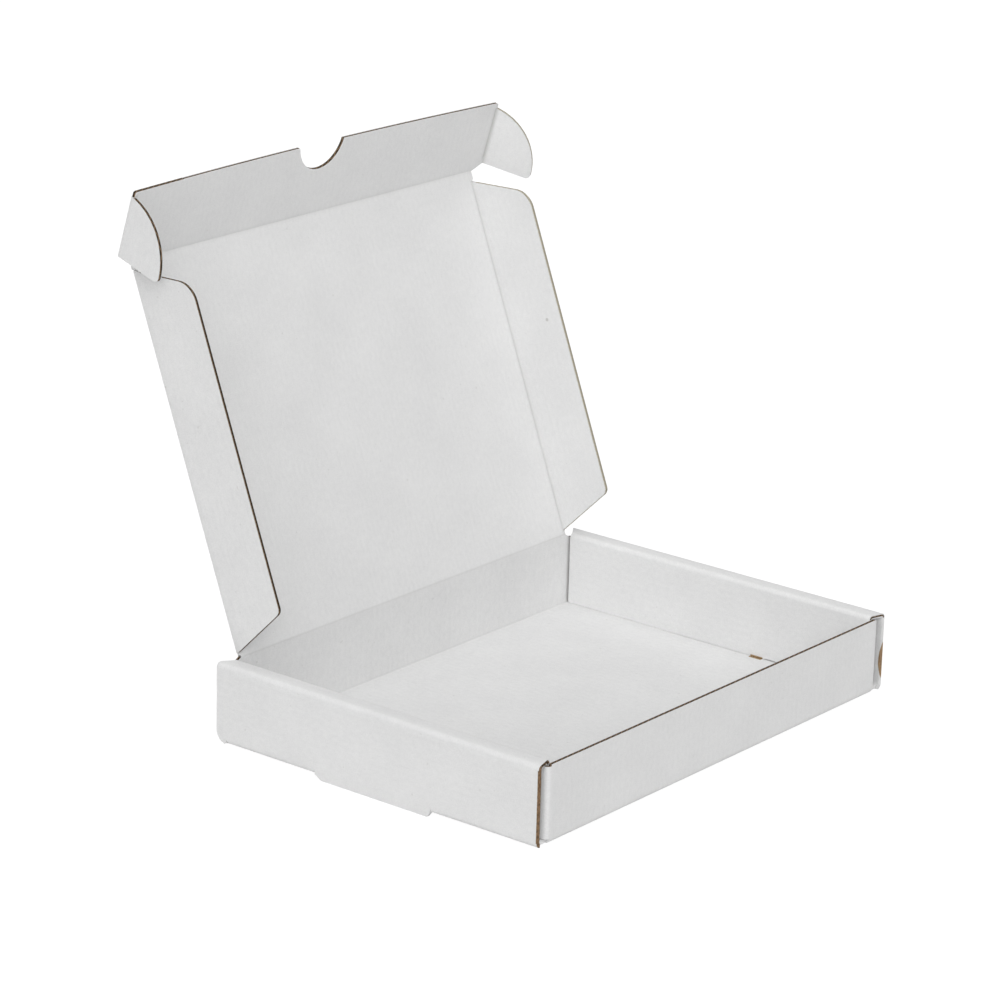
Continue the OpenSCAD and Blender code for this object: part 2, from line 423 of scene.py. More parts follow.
@dataclass(frozen=True)
class TornFinish:
    """Bare brown paper where the white liner is torn off, over the whole face or in a bite out of an edge."""

    name: str = "torn_kraft"
    kraft: Colour = (0.46, 0.32, 0.18)
    fibre: Colour = (0.29, 0.195, 0.105)
    liner: Colour = (0.72, 0.72, 0.715)
    fuzz_size: float = 0.8
    bite_middle: Point = (0.0, 0.0)
    bite_reach: float = 0.0
    bite_share: float = 1.9

    def material(self) -> bpy.types.Material:
        """Material of the torn places."""
        recipe = Recipe(bpy.data.materials.new(self.name))
        place = recipe.attribute("sheet").outputs["Vector"]
        fuzz = recipe.noise(recipe.stretched(place, (1.0, 0.5, 2.0)), self.fuzz_size, 3.0, 0.6)
        colour = recipe.mix(fuzz.step(0.3, 0.65), self.fibre, self.kraft)
        if self.bite_reach:
            across, along, depth = recipe.parts(place)
            off = (across - self.bite_middle[0]) / self.bite_reach
            inward = depth + (along - self.bite_middle[1])
            bare = (self.bite_share * (1 - off * off) + (fuzz - 0.5) * 0.5 - inward).step(0.0, 0.15)
            colour = recipe.mix(bare, self.liner, colour)
        return recipe.bare_paper(colour, fuzz, fuzz)


@dataclass(frozen=True)
class FloorFinish:
    """Plain pale studio floor."""

    name: str = "pale_floor"
    shade: Colour = (0.8, 0.8, 0.8)
    roughness: float = 0.9
    gloss: float = 0.1
    glow: float = 1.14
    glow_share: float = 0.86

    def material(self) -> bpy.types.Material:
        """Material of the floor, white to the camera with a part of the box's shadow left on it."""
        recipe = Recipe(bpy.data.materials.new(self.name))
        paint = recipe.node("ShaderNodeBsdfPrincipled", {}, {
            "Base Color": (*self.shade, 1.0),
            "Roughness": self.roughness,
            "Specular IOR Level": self.gloss,
        })
        glow = recipe.node("ShaderNodeEmission", {}, {"Color": WHITE, "Strength": self.glow})
        both = recipe.node("ShaderNodeMixShader", {}, {
            0: recipe.seen() * self.glow_share, 1: paint.outputs[0], 2: glow.outputs[0],
        })
        recipe.node("ShaderNodeOutputMaterial", {}, {"Surface": both.outputs[0]})
        return recipe.owner


@dataclass(frozen=True)
class Finishes:
    """The materials of every panel, in the order of its slots."""

    board: Board
    materials: dict[Slot, bpy.types.Material] = field(default_factory=dict)

    def __post_init__(self) -> None:
        """Make the material of every slot."""
        # Pressed edges: pale crushed kraft, with lighter painted shade in their flattened hollows.
        pressed = CoreFinish(
            self.board, "pressed_core", kraft=(0.60, 0.555, 0.455), fibre=(0.50, 0.46, 0.37),
            hollow_shade=(0.34, 0.31, 0.24), pinch_share=0.0,
        )
        bitten = TornFinish(
            "bitten_edge", kraft=(0.37, 0.245, 0.14), fibre=(0.22, 0.14, 0.078),
            bite_middle=(120.0, -76.5), bite_reach=8.0,
        )
        pinched = CoreFinish(self.board, "pinched_core", pinch_share=0.27)
        worn = TornFinish("worn_edge", kraft=(0.29, 0.185, 0.105), fibre=(0.11, 0.07, 0.04), fuzz_size=1.0)
        plain, core, torn = LinerFinish(self.board), CoreFinish(self.board), TornFinish()
        finishes = (plain, core, pressed, torn, bitten, pinched, worn)
        self.materials.update({slot: finish.material() for slot, finish in zip(Slot, finishes)})

    def dress(self, piece: bpy.types.Object) -> None:
        """Fill a panel's material slots."""
        for slot in Slot:
            piece.data.materials.append(self.materials[slot])


class Sheet:
    """A piece of board that is cut flat, built up in layers and then folded."""

    def __init__(self, board: Board) -> None:
        """Start with no board at all."""
        self.board = board
        self.bm = bmesh.new()
        self.bm.verts.layers.float_vector.new("sheet")
        # Per-vertex strength of the score line and painted shade along the folds.
        self.bm.verts.layers.float.new("crease_shade")

    @property
    def flat(self) -> bmesh.types.BMLayerItem:
        """Layer that keeps each point's place on the flat sheet and its depth in the board."""
        return self.bm.verts.layers.float_vector["sheet"]

    @property
    def all(self) -> list[Any]:
        """Every vertex, edge and face."""
        return [*self.bm.verts, *self.bm.edges, *self.bm.faces]

    def outline(self, points: Iterable[Point]) -> list[bmesh.types.BMVert]:
        """Join a few corners into an open outline.

        Args:
            points: The corners in order.

        Returns:
            The corners' vertices.
        """
        corners = [self.bm.verts.new((x, y, 0)) for x, y in points]
        for start, end in zip(corners, corners[1:]):
            self.bm.edges.new((start, end))
        return corners

    def sweep(self, start: bmesh.types.BMVert, centre: Point, angle: float, steps: int) -> bmesh.types.BMVert:
        """Carry the end of an outline round an arc.

        Args:
            start: The vertex that the arc starts from.
            centre: Centre of the arc.
            angle: Turn of the arc in radians, positive to the left.
            steps: Number of chords.

        Returns:
            The vertex at the arc's end.
        """
        turned = bmesh.ops.spin(
            self.bm, geom=[start], cent=(*centre, 0), axis=(0, 0, 1), dvec=(0, 0, 0), angle=angle,
            steps=steps, use_merge=False, use_normal_flip=False, use_duplicate=False,
        )
        return [item for item in turned["geom_last"] if isinstance(item, bmesh.types.BMVert)][0]

    def close(self) -> None:
        """Fill the outline with one face."""
        ends = [vert for vert in self.bm.verts if len(vert.link_edges) == 1]
        if len(ends) == 2:
            self.bm.edges.new(ends)
        bmesh.ops.contextual_create(self.bm, geom=self.bm.edges[:])

    def round_points(self, places: Sequence[tuple[Point, float]], steps: int) -> None:
        """Round corners of a plain outline.

        Args:
            places: Each corner with the length that its arc takes off both edges.
            steps: Number of chords in each arc.
        """
        for (x, y), length in places:
            corner = [vert for vert in self.bm.verts if (vert.co.xy - Vector((x, y))).length < TINY]
            bmesh.ops.bevel(
                self.bm, geom=corner, offset=length, offset_type="OFFSET", segments=steps, profile=0.5,
                affect="VERTICES", clamp_overlap=False, material=-1,
            )

    def cut(self, across: Across, places: Iterable[float]) -> None:
        """Cut straight through the whole sheet.

        Args:
            across: Axis that the cuts stand across.
            places: Where they are on that axis.
        """
        for place in places:
            bmesh.ops.bisect_plane(
                self.bm, geom=self.all, dist=SNAP, plane_co=across.normal * place, plane_no=across.normal
            )

    def within(self, region: Rect) -> list[Any]:
        """Faces whose middle lies in a region, with their edges and vertices.

        Args:
            region: Low x, high x, low y and high y.

        Returns:
            The vertices, edges and faces.
        """
        faces = [face for face in self.bm.faces if holds(region, face.calc_center_median())]
        edges = dict.fromkeys(edge for face in faces for edge in face.edges)
        verts = dict.fromkeys(vert for face in faces for vert in face.verts)
        return [*verts, *edges, *faces]

    def slice_off(self, region: Rect, point: Vector, out: Vector) -> None:
        """Cut the faces with their middles in a region by a plane, and drop what lies on its way out."""
        bmesh.ops.bisect_plane(
            self.bm, geom=self.within(region), dist=SNAP, plane_co=point, plane_no=out, clear_outer=True
        )

    def trim(self, start: Point, end: Point, region: Rect) -> None:
        """Cut off what lies to the left of a line, within a region."""
        along = Vector(end) - Vector(start)
        self.slice_off(region, Vector((*start, 0)), Vector((-along.y, along.x, 0)))

    def round_corner(self, corner: Point, inward: Point, radius: float, steps: int, region: Rect) -> None:
        """Round a square corner of a sheet that is already cut into cells, by cuts that touch the arc.

        Args:
            corner: The corner's place.
            inward: Signs of the way into the board along x and y.
            radius: Radius of the arc.
            steps: Number of cuts.
            region: The region, as for slice_off.
        """
        centre = Vector((corner[0] + inward[0] * radius, corner[1] + inward[1] * radius, 0))
        for step in range(steps):
            turn = math.pi / 2 * (step + 0.5) / steps
            out = Vector((-inward[0] * math.cos(turn), -inward[1] * math.sin(turn), 0))
            self.slice_off(region, centre + out * radius, out)

    def keep(self, panels: Sequence[Rect], holes: Sequence[Rect] = ()) -> None:
        """Drop every cell that lies in no panel, or in a hole.

        Args:
            panels: Low x, high x, low y and high y of each panel.
            holes: The same of each hole.
        """
        waste = []
        for face in self.bm.faces:
            middle = face.calc_center_median()
            wanted = any(holds(panel, middle) for panel in panels)
            if not wanted or any(holds(hole, middle) for hole in holes):
                waste.append(face)
        bmesh.ops.delete(self.bm, geom=waste, context="FACES")

    def face_out(self) -> None:
        """Turn every face outwards."""
        bmesh.ops.recalc_face_normals(self.bm, faces=self.bm.faces[:])

    def reflect(self) -> None:
        """Add the mirror image of a half sheet across x = 0."""
        bmesh.ops.mirror(self.bm, geom=self.all, matrix=Matrix.Identity(4), merge_dist=WELD, axis="X")
        bmesh.ops.remove_doubles(self.bm, verts=self.bm.verts[:], dist=WELD)
        self.face_out()

    def build_up(self) -> None:
        """Give the cut outline its thickness: a liner, the core and a liner."""
        board = self.board
        region: list[Any] = self.bm.faces[:]
        below = 0.0
        for height in (board.liner, board.thickness - board.liner, board.thickness):
            grown = bmesh.ops.extrude_face_region(self.bm, geom=region, use_keep_orig=True)["geom"]
            if below:
                bmesh.ops.delete(self.bm, geom=region, context="FACES")
            raised = [item for item in grown if isinstance(item, bmesh.types.BMVert)]
            bmesh.ops.translate(self.bm, vec=(0, 0, height - below), verts=raised)
            region = [item for item in grown if isinstance(item, bmesh.types.BMFace)]
            below = height
        self.face_out()
        for face in self.bm.faces:
            level = face.calc_center_median().z
            if abs(face.normal.z) < 0.5 and board.liner < level < board.thickness - board.liner:
                face.material_index = Slot.CORE.value

    def mark(self, slot: Slot, region: Rect, facing: Facing = Facing.EDGE) -> None:
        """Give the faces in a region another finish.

        Args:
            slot: The finish's slot.
            region: Low x, high x, low y and high y of the middles of the faces.
            facing: Which faces of the sheet.
        """
        for item in self.within(region):
            if isinstance(item, bmesh.types.BMFace) and round(item.normal.z) == facing.value:
                item.material_index = slot.value

    def recut(self, slot: Slot) -> None:
        """Give every cut through the core another finish."""
        for face in self.bm.faces:
            if face.material_index == Slot.CORE.value:
                face.material_index = slot.value

    def round_fold(
        self, across: Across, place: float, out: int, span: Point, crease_shade_strength: float, sink: float = 0.0,
        inside: Facing = Facing.UNDER,
    ) -> None:
        """Round the board's edge about the axis of a swinging fold, and paint a score line with shade along
        it.

        Args:
            across: Axis that the fold stands across.
            place: The fold's place on that axis.
            out: Sign of the way out of the board.
            span: Low and high end of the fold along its own axis.
            crease_shade_strength: How strongly its score line and painted shade show.
            sink: How much smaller the round is than the board's half thickness.
            inside: The side of the sheet that is inside the box, where the score line and its painted shade
                show fully.
        """
        board = self.board
        axis, other = across.value, across.other

        def in_span(spot: Vector) -> bool:
            """Whether a point lies between the fold's ends."""
            return span[0] - TINY < spot[other] < span[1] + TINY

        def on_fold(spot: Vector) -> bool:
            """Whether a point lies on the fold's line."""
            return abs(spot[axis] - place) < TINY and in_span(spot)

        walls = [
            face for face in self.bm.faces
            if abs(face.normal[axis]) > 0.9 and all(on_fold(vert.co) for vert in face.verts)
        ]
        bmesh.ops.delete(self.bm, geom=walls, context="FACES")
        rim = [
            edge for edge in self.bm.edges
            if all(on_fold(vert.co) and abs(vert.co.z - board.thickness) < TINY for vert in edge.verts)
        ]
        rim_verts = dict.fromkeys(vert for edge in rim for vert in edge.verts)
        centre = across.normal * place + Vector((0, 0, board.half))
        turn = Vector((0, 1, 0)) * out if across is Across.X else Vector((1, 0, 0)) * -out
        bmesh.ops.spin(
            self.bm, geom=[*rim_verts, *rim], cent=centre, axis=turn, dvec=(0, 0, 0), angle=math.pi,
            steps=board.bead_steps, use_merge=False, use_normal_flip=False, use_duplicate=False,
        )
        bmesh.ops.remove_doubles(self.bm, verts=self.bm.verts[:], dist=WELD)
        bmesh.ops.holes_fill(self.bm, edges=[edge for edge in self.bm.edges if edge.is_boundary], sides=0)
        bead = [vert for vert in self.bm.verts if (vert.co[axis] - place) * out > TINY and in_span(vert.co)]
        if sink:
            shrink = 1 - sink / board.half
            factors = (shrink, 1, shrink) if across is Across.X else (1, shrink, shrink)
            bmesh.ops.scale(self.bm, vec=factors, space=Matrix.Translation(-centre), verts=bead)
        # Score line with painted shade along the fold, full on the inner face and weaker on the outer face.
        crease_shade = self.bm.verts.layers.float["crease_shade"]
        for vert in self.bm.verts:
            if abs(vert.co[axis] - place) < board.half + TINY and in_span(vert.co):
                inner = (vert.co.z - board.half) * inside.value > -TINY
                vert[crease_shade] = crease_shade_strength if inner else crease_shade_strength * board.outer_crease_shade
        self.face_out()

    def note_flat(self, place: Callable[[Vector], Point]) -> None:
        """Keep each point's place on the whole flat sheet.

        Args:
            place: Gives the place on the sheet for a point of this piece.
        """
        layer = self.flat
        for vert in self.bm.verts:
            vert[layer] = Vector((*place(vert.co), vert.co.z / self.board.thickness))

    def bend(self, across: Across, start: float, out: int, past: Callable[[Vector], float]) -> None:
        """Bend the board up through a quarter turn in small steps, the outermost first.

        Args:
            across: Axis that the bend stands across.
            start: Where the bend starts on that axis.
            out: Sign of the way out along the axis.
            past: Gives how far a flat point lies past the bend's start, negative where it doesn't move.
        """
        board, layer = self.board, self.flat
        distances = {vert: past(vert[layer]) for vert in self.bm.verts}
        turn_axis = "Y" if across is Across.X else "X"
        sign = -out if across is Across.X else out
        for step in range(board.bend_steps, -1, -1):
            reach = board.arc * step / board.bend_steps
            end = step in (0, board.bend_steps)
            turn = math.pi / 2 / board.bend_steps * (0.5 if end else 1.0)
            edge_turn = turn * (0.0 if step == 0 else 1.0 if end else 0.5)
            centre = across.normal * (start + out * reach) + Vector((0, 0, board.half))
            beyond = [vert for vert, distance in distances.items() if distance > reach + TINY]
            level = [vert for vert, distance in distances.items() if abs(distance - reach) <= TINY]
            for verts, angle in ((beyond, turn), (level, edge_turn)):
                bmesh.ops.rotate(
                    self.bm, cent=centre, matrix=Matrix.Rotation(sign * angle, 3, turn_axis), verts=verts
                )

    def finish(self, name: str, place: Matrix, body: str, finishes: Finishes) -> bpy.types.Object:
        """Put the folded board in its place and make it a piece of the box.

        Args:
            name: Name of the piece.
            place: Its place in the box, in millimetres.
            body: The CAD body and node that it stands for.
            finishes: Its materials.

        Returns:
            The finished piece.
        """
        bmesh.ops.transform(self.bm, matrix=Matrix.Scale(MM, 4) @ place, verts=self.bm.verts[:])
        self.face_out()
        for face in self.bm.faces:
            face.smooth = True
        for edge in self.bm.edges:
            edge.smooth = edge.calc_face_angle(0.0) < SHARP
        mesh = bpy.data.meshes.new(name)
        self.bm.to_mesh(mesh)
        self.bm.free()
        piece = bpy.data.objects.new(name, mesh)
        bpy.context.scene.collection.objects.link(piece)
        finishes.dress(piece)
        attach(piece, body)
        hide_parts(body)
        return piece


@dataclass
class Tray:
    """The folded tray: base, front and back walls, and two rolled side walls with their tongues and tabs."""

    board: Board
    width: float = 220.0
    depth: float = 154.0
    height: float = 32.0
    front_top: float = 30.6
    hinge_height: float = 31.8
    hinge_half: float = 99.6
    roll_width: float = 8.4
    wall_ends: Point = (-76.5, 78.4)
    inner_ends: Point = (-74.9, 74.4)
    bend_back: float = 73.4
    tab_length: float = 30.0
    tab_top: float = 29.9
    back_tab_low: float = 4.2
    tab_radius: float = 4.0
    tab_steps: int = 5
    cross_x: float = 103.0
    slot: Rect = (101.3, 103.5, -25.0, 25.0)
    wide_slot_x: float = 100.0
    torn_heights: Point = (3.6, 20.8)
    torn_level: float = 2.2
    worn_edge: float = 0.35
    bite_depth: float = 1.0
    inner_lift: Point = (0.4, 0.1)
    lock_ends: Point = (-19.0, 24.7)
    lock_depth: float = 1.3
    tongue_root: Point = (-26.9, 28.8)
    tongue_ends: Point = (-25.5, 25.5)
    tongue_depth: float = 1.8
    # Strength of the painted shade in the inner bends of the base to the front and back walls.
    bend_shade: float = 0.4
    rear_radius: float = 5.0
    rear_steps: int = 7
    roll_steps: tuple[int, int] = (4, 2)
    slit: float = 0.06
    slit_reach: float = 4.0
    cell: float = 24.0
    support: float = 0.7
    side_lines: list[float] = field(default_factory=list)

    def __post_init__(self) -> None:
        """Work out the side wall's lines on the flat sheet, from the base outwards."""
        board = self.board
        outer, top = (size - 2 * board.bend_radius for size in (self.height, self.roll_width))
        inner = self.height - board.bend_radius - board.thickness
        self.side_lines = [self.width / 2 - board.bend_radius]
        for length in (board.arc, outer, board.arc, top, board.arc, inner, self.lock_depth):
            self.side_lines.append(self.side_lines[-1] + length)

    @property
    def base_y(self) -> float:
        """Half depth of the base between its bends."""
        return self.depth / 2 - self.board.bend_radius

    def wall_y(self, level: float) -> float:
        """Flat distance from the middle to a height on the front or back wall."""
        return self.base_y + self.board.arc + level - self.board.bend_radius

    def side_x(self, level: float) -> float:
        """Flat distance from the middle to a height on an outer side wall."""
        return self.side_lines[1] + level - self.board.bend_radius

    @property
    def torn_x(self) -> float:
        """Flat distance from the middle to the top of the torn place on an inner wall."""
        return self.side_lines[6] + self.board.thickness - self.torn_level

    def steps(self, start: float) -> list[float]:
        """Lines of a quarter bend that starts at a place and runs outwards."""
        count = self.board.bend_steps
        return [start + self.board.arc * step / count for step in range(count + 1)]

    def lay_out(self, sheet: Sheet) -> None:
        """Cut the flat tray: lines first, then the cells that are waste, then the shaped ends.

        Args:
            sheet: The sheet that the tray is cut from.
        """
        lines, cross, slit, support = self.side_lines, self.cross_x, self.slit, self.support
        tab_end = cross + self.board.arc + self.tab_length
        foot, tongue = self.side_x(slit), self.side_x(-self.tongue_depth)
        front, back = self.wall_y(self.front_top), self.wall_y(self.hinge_height)
        tab_y, low_tab_y = self.wall_y(self.tab_top), self.wall_y(self.back_tab_low)
        bend_y = self.wall_y(self.board.bend_radius)
        roll_out, roll_in = (self.steps(lines[n])[step] for n, step in zip((2, 4), self.roll_steps))
        sheet.outline([(0.0, -front), (lines[-1], -front), (lines[-1], back), (0.0, back)])
        sheet.close()
        sheet.cut(Across.X, [
            *(place for line in (*lines[0:6:2], cross) for place in self.steps(line)), *lines[6:],
            *self.slot[:2], *(self.side_x(level) for level in self.torn_heights), tab_end, foot, tongue,
            tongue - slit, self.side_x(0), self.wide_slot_x, self.torn_x, lines[0] - support - slit,
            lines[1] + support, lines[2] - support, lines[5] + support, cross - support,
        ])
        sheet.cut(Across.Y, [
            *(-place for place in self.steps(self.base_y)), *self.steps(self.base_y), *self.wall_ends,
            *self.inner_ends, *self.slot[2:], *self.lock_ends, *self.tongue_root, self.tongue_root[0] - slit,
            self.tongue_root[1] + slit, self.bend_back, self.bend_back + slit, -tab_y, tab_y,
            self.wall_ends[0] + self.worn_edge, self.wall_ends[0] + self.bite_depth, low_tab_y,
            support - self.base_y, self.base_y - support, -bend_y - support, bend_y + support,
            back - self.board.hinge_reach,
        ])
        count = int(self.depth / self.cell)
        sheet.cut(Across.Y, [self.cell * (step - count / 2) for step in range(count + 1)])
        count = int(cross / self.cell)
        sheet.cut(Across.X, [self.cell * (step + 0.5) for step in range(count)])
        sheet.keep(
            [
                (0, lines[0], -self.base_y, self.base_y),
                (0, cross, -front, -self.base_y),
                (0, cross, self.base_y, back),
                (cross, tab_end, -tab_y, -bend_y),
                (cross, tab_end, low_tab_y, tab_y),
                (lines[0], lines[1], self.wall_ends[0], self.tongue_root[0] - slit),
                (lines[0], lines[1], self.tongue_root[1] + slit, self.bend_back),
                (foot, lines[1], self.bend_back + slit, self.wall_ends[1]),
                (tongue, lines[1], *self.tongue_root),
                (lines[1], roll_in, *self.wall_ends),
                (roll_in, lines[6], *self.inner_ends),
                (lines[6], lines[7], *self.lock_ends),
            ],
            [
                self.slot,
                (tongue - slit, tongue, self.tongue_root[0] - slit, self.tongue_root[1] + slit),
                (tongue, lines[1], self.tongue_root[0] - slit, self.tongue_root[0]),
                (tongue, lines[1], self.tongue_root[1], self.tongue_root[1] + slit),
            ],
        )
        for end, inner, root, tip in zip(self.wall_ends, self.inner_ends, self.tongue_root, self.tongue_ends):
            way = 1 if end > 0 else -1
            roll = [(roll_out, end), (roll_in, inner)][::way]
            sheet.trim(*roll, (lines[2], roll_in, *sorted((end, inner))))
            slope = [(self.side_x(0), root), (tongue, tip)][::-way]
            low, high = sorted((root, 0.0))
            sheet.trim(*slope, (tongue - TINY, self.side_x(0), low, high))
        sheet.trim((self.hinge_half, back), (cross, tab_y), (0, cross, tab_y, back))
        back_foot = (foot, lines[2], self.bend_back, self.wall_ends[1])
        sheet.round_corner((foot, self.wall_ends[1]), (1, -1), self.rear_radius, self.rear_steps, back_foot)
        for low, high in ((-tab_y, -bend_y), (low_tab_y, tab_y)):
            for corner_y, inward in ((low, 1), (high, -1)):
                tab = (cross, tab_end, low, high)
                sheet.round_corner((tab_end, corner_y), (-1, inward), self.tab_radius, self.tab_steps, tab)

    def wear(self, sheet: Sheet) -> None:
        """Close the small cuts, mark the worn, bitten and torn places, lift an edge and paint shade into the
        inner bends.

        Args:
            sheet: The tray's board, built up and still flat.
        """
        lines, cross, base_y = self.side_lines, self.cross_x, self.base_y
        bend_y = base_y + self.board.arc
        tab_end = cross + self.board.arc + self.tab_length
        front, near, start = self.wall_ends[0], self.slit + TINY, lines[0] - self.slit_reach
        small_cuts = [
            (start, lines[1], self.tongue_root[0] - near, self.tongue_ends[0] + near),
            (start, lines[1], self.tongue_root[1] - near, self.tongue_root[1] + near),
            (start, lines[1], self.bend_back - near, self.bend_back + near),
            (cross, lines[0], -base_y - TINY, -base_y + TINY),
            (cross - TINY, cross + TINY, -bend_y, -base_y),
            (cross - TINY, cross + TINY, base_y, bend_y),
            (lines[0] - TINY, lines[0] + TINY, front, -base_y),
            (cross, tab_end, -bend_y - TINY, -bend_y + TINY),
        ]
        for low_x, high_x, low_y, high_y in small_cuts:
            sheet.mark(Slot.LINER, (low_x, high_x, low_y, high_y))
            sheet.mark(Slot.LINER, (-high_x, -low_x, low_y, high_y))
        low, high = (self.side_x(level) for level in self.torn_heights)
        torn_y = (self.slot[2], self.lock_ends[0])
        at_front = (front - TINY, front + TINY)
        sheet.mark(Slot.WORN, (-lines[2], -lines[1], front, front + self.worn_edge), Facing.UNDER)
        sheet.mark(Slot.WORN, (-lines[3], -lines[0], *at_front))
        sheet.mark(Slot.LINER, (lines[0], lines[2], *at_front))
        sheet.mark(Slot.BITTEN, (low, high, *at_front))
        sheet.mark(Slot.BITTEN, (low, high, front, front + self.bite_depth), Facing.UPPER)
        sheet.mark(Slot.PINCHED, (lines[2], lines[6], front - TINY, self.inner_ends[0] + TINY))
        sheet.mark(Slot.TORN, (self.wide_slot_x, self.slot[0], *torn_y), Facing.UPPER)
        sheet.mark(Slot.TORN, (self.torn_x, lines[6], *torn_y), Facing.UNDER)
        edge = [vert for vert in sheet.bm.verts if abs(vert.co.x - lines[6]) < TINY]
        for lift, way, end in zip(self.inner_lift, (-1, 1), self.slot[2:]):
            raised = [vert for vert in edge if (vert.co.y - end) * way > TINY]
            bmesh.ops.translate(sheet.bm, vec=(-lift, 0, 0), verts=raised)
        # Painted shade along the inner face of the base's bends to the walls, where the corners darken.
        crease_shade = sheet.bm.verts.layers.float["crease_shade"]
        for vert in sheet.bm.verts:
            bent = base_y - TINY < abs(vert.co.y) < bend_y + TINY and abs(vert.co.x) < cross + TINY
            if bent and vert.co.z > self.board.half:
                vert[crease_shade] = self.bend_shade

    def fold_up(self, sheet: Sheet) -> None:
        """Fold the tray, from the outermost bends inwards.

        Args:
            sheet: The tray's board, built up and still flat.
        """
        lines, bend_y = self.side_lines, self.base_y + self.board.arc

        def on_side(spot: Vector) -> bool:
            """Whether a flat point is on a side wall, and not on a corner tab."""
            return self.wall_ends[0] - TINY <= spot.y <= self.wall_ends[1] + TINY

        def past_side(spot: Vector, side: int, line: float) -> float:
            """How far a flat point lies past a line of one side wall."""
            return spot.x * side - line if on_side(spot) else -1.0

        def past_base(spot: Vector, side: int) -> float:
            """The same for the base's bend, where the wall's foot and tongue stay straight."""
            over = spot.x * side - lines[0]
            foot = spot.y > self.bend_back + TINY
            tongue = self.tongue_root[0] - TINY <= spot.y <= self.tongue_root[1] + TINY
            straight = tongue and spot.x * side > self.side_x(-self.tongue_depth) - TINY
            straight = straight or (foot and over > 0)
            lifted = straight and on_side(spot) and over < self.board.arc - TINY
            return self.board.arc + 1.0 if lifted else past_side(spot, side, lines[0])

        def past_tab(spot: Vector, side: int, way: int) -> float:
            """How far a flat point lies past the bend of one corner tab."""
            beside = on_side(spot) and spot.x * side > lines[0] - TINY
            return spot.x * side - self.cross_x if spot.y * way > bend_y - TINY and not beside else -1.0

        def past_wall(spot: Vector, way: int) -> float:
            """How far a flat point lies past the base's bend to the front or back wall."""
            beside = on_side(spot) and abs(spot.x) > lines[0] - TINY
            on_tab = spot.y * way > bend_y - TINY and not beside
            return spot.y * way - self.base_y if on_tab or abs(spot.x) < self.cross_x + TINY else -1.0

        for side in (-1, 1):
            for way in (-1, 1):
                sheet.bend(Across.X, side * self.cross_x, side, lambda spot: past_tab(spot, side, way))
            for line in (lines[4], lines[2]):
                sheet.bend(Across.X, side * line, side, lambda spot: past_side(spot, side, line))
        for way in (-1, 1):
            sheet.bend(Across.Y, way * self.base_y, way, lambda spot: past_wall(spot, way))
        for side in (-1, 1):
            sheet.bend(Across.X, side * lines[0], side, lambda spot: past_base(spot, side))

    def build(self, finishes: Finishes) -> bpy.types.Object:
        """Cut, build up and fold the tray.

        Args:
            finishes: Its materials.

        Returns:
            The finished tray.
        """
        sheet = Sheet(self.board)
        self.lay_out(sheet)
        sheet.reflect()
        sheet.build_up()
        self.wear(sheet)
        span = (-self.hinge_half, self.hinge_half)
        crease_shade_strength, sink = self.board.hinge_crease_shade, self.board.bead_sink
        sheet.round_fold(Across.Y, self.wall_y(self.hinge_height), 1, span, crease_shade_strength, sink, Facing.UPPER)
        sheet.note_flat(lambda spot: (spot.x, spot.y))
        self.fold_up(sheet)
        return sheet.finish("tray_board", Matrix.Identity(4), "tray", finishes)


@dataclass
class Lid:
    """The large panel hinged on the back wall, and the frame that its flaps are placed in."""

    board: Board
    hinge: Point = (76.2, 31.8)
    opening: float = 111.0
    length: float = 155.4
    half_width: float = 100.4
    fold_x: float = 99.6
    flap_span: Point = (-150.9, -1.55)
    lug_y: float = -151.4
    sheet_start: float = 106.685
    cell: float = 25.0

    @property
    def frame(self) -> Matrix:
        """The lid's frame: its hinge is the X axis, and the closed lid lies along -Y."""
        return Matrix.Translation((0, *self.hinge)) @ Matrix.Rotation(math.radians(-self.opening), 4, "X")

    def build(self, finishes: Finishes) -> bpy.types.Object:
        """Cut and build up the lid, with round edges at its hinge and at its flaps' folds.

        Args:
            finishes: Its materials.

        Returns:
            The finished lid.
        """
        board = self.board
        sheet = Sheet(board)
        left, right = -self.half_width, self.half_width
        sheet.outline([(left, -self.length), (right, -self.length), (right, 0.0), (left, 0.0)])
        sheet.close()
        inner = self.fold_x - board.crease_reach
        sheet.cut(Across.X, [-self.fold_x, self.fold_x, -inner, inner])
        reaches = (-board.hinge_reach, board.crease_reach - self.length)
        sheet.cut(Across.Y, [*self.flap_span, self.lug_y, *reaches])
        sheet.cut(Across.Y, [-self.cell * step for step in range(1, int(self.length / self.cell))])
        sheet.keep([
            (-self.fold_x, self.fold_x, -self.length, 0),
            (left, right, -self.length, self.lug_y),
        ])
        sheet.build_up()
        sheet.recut(Slot.LINER)
        sheet.round_fold(Across.Y, 0.0, 1, (-self.fold_x, self.fold_x), board.hinge_crease_shade)
        sheet.round_fold(Across.Y, -self.length, -1, (left, right), board.flap_crease_shade, board.bead_sink)
        for hand in Hand:
            fold = hand.value * self.fold_x
            sheet.round_fold(Across.X, fold, hand.value, self.flap_span, board.side_crease_shade, board.bead_sink)
        sheet.note_flat(lambda spot: (spot.x, self.sheet_start - spot.y))
        return sheet.finish("lid_board", self.frame @ board.seat, "lid", finishes)


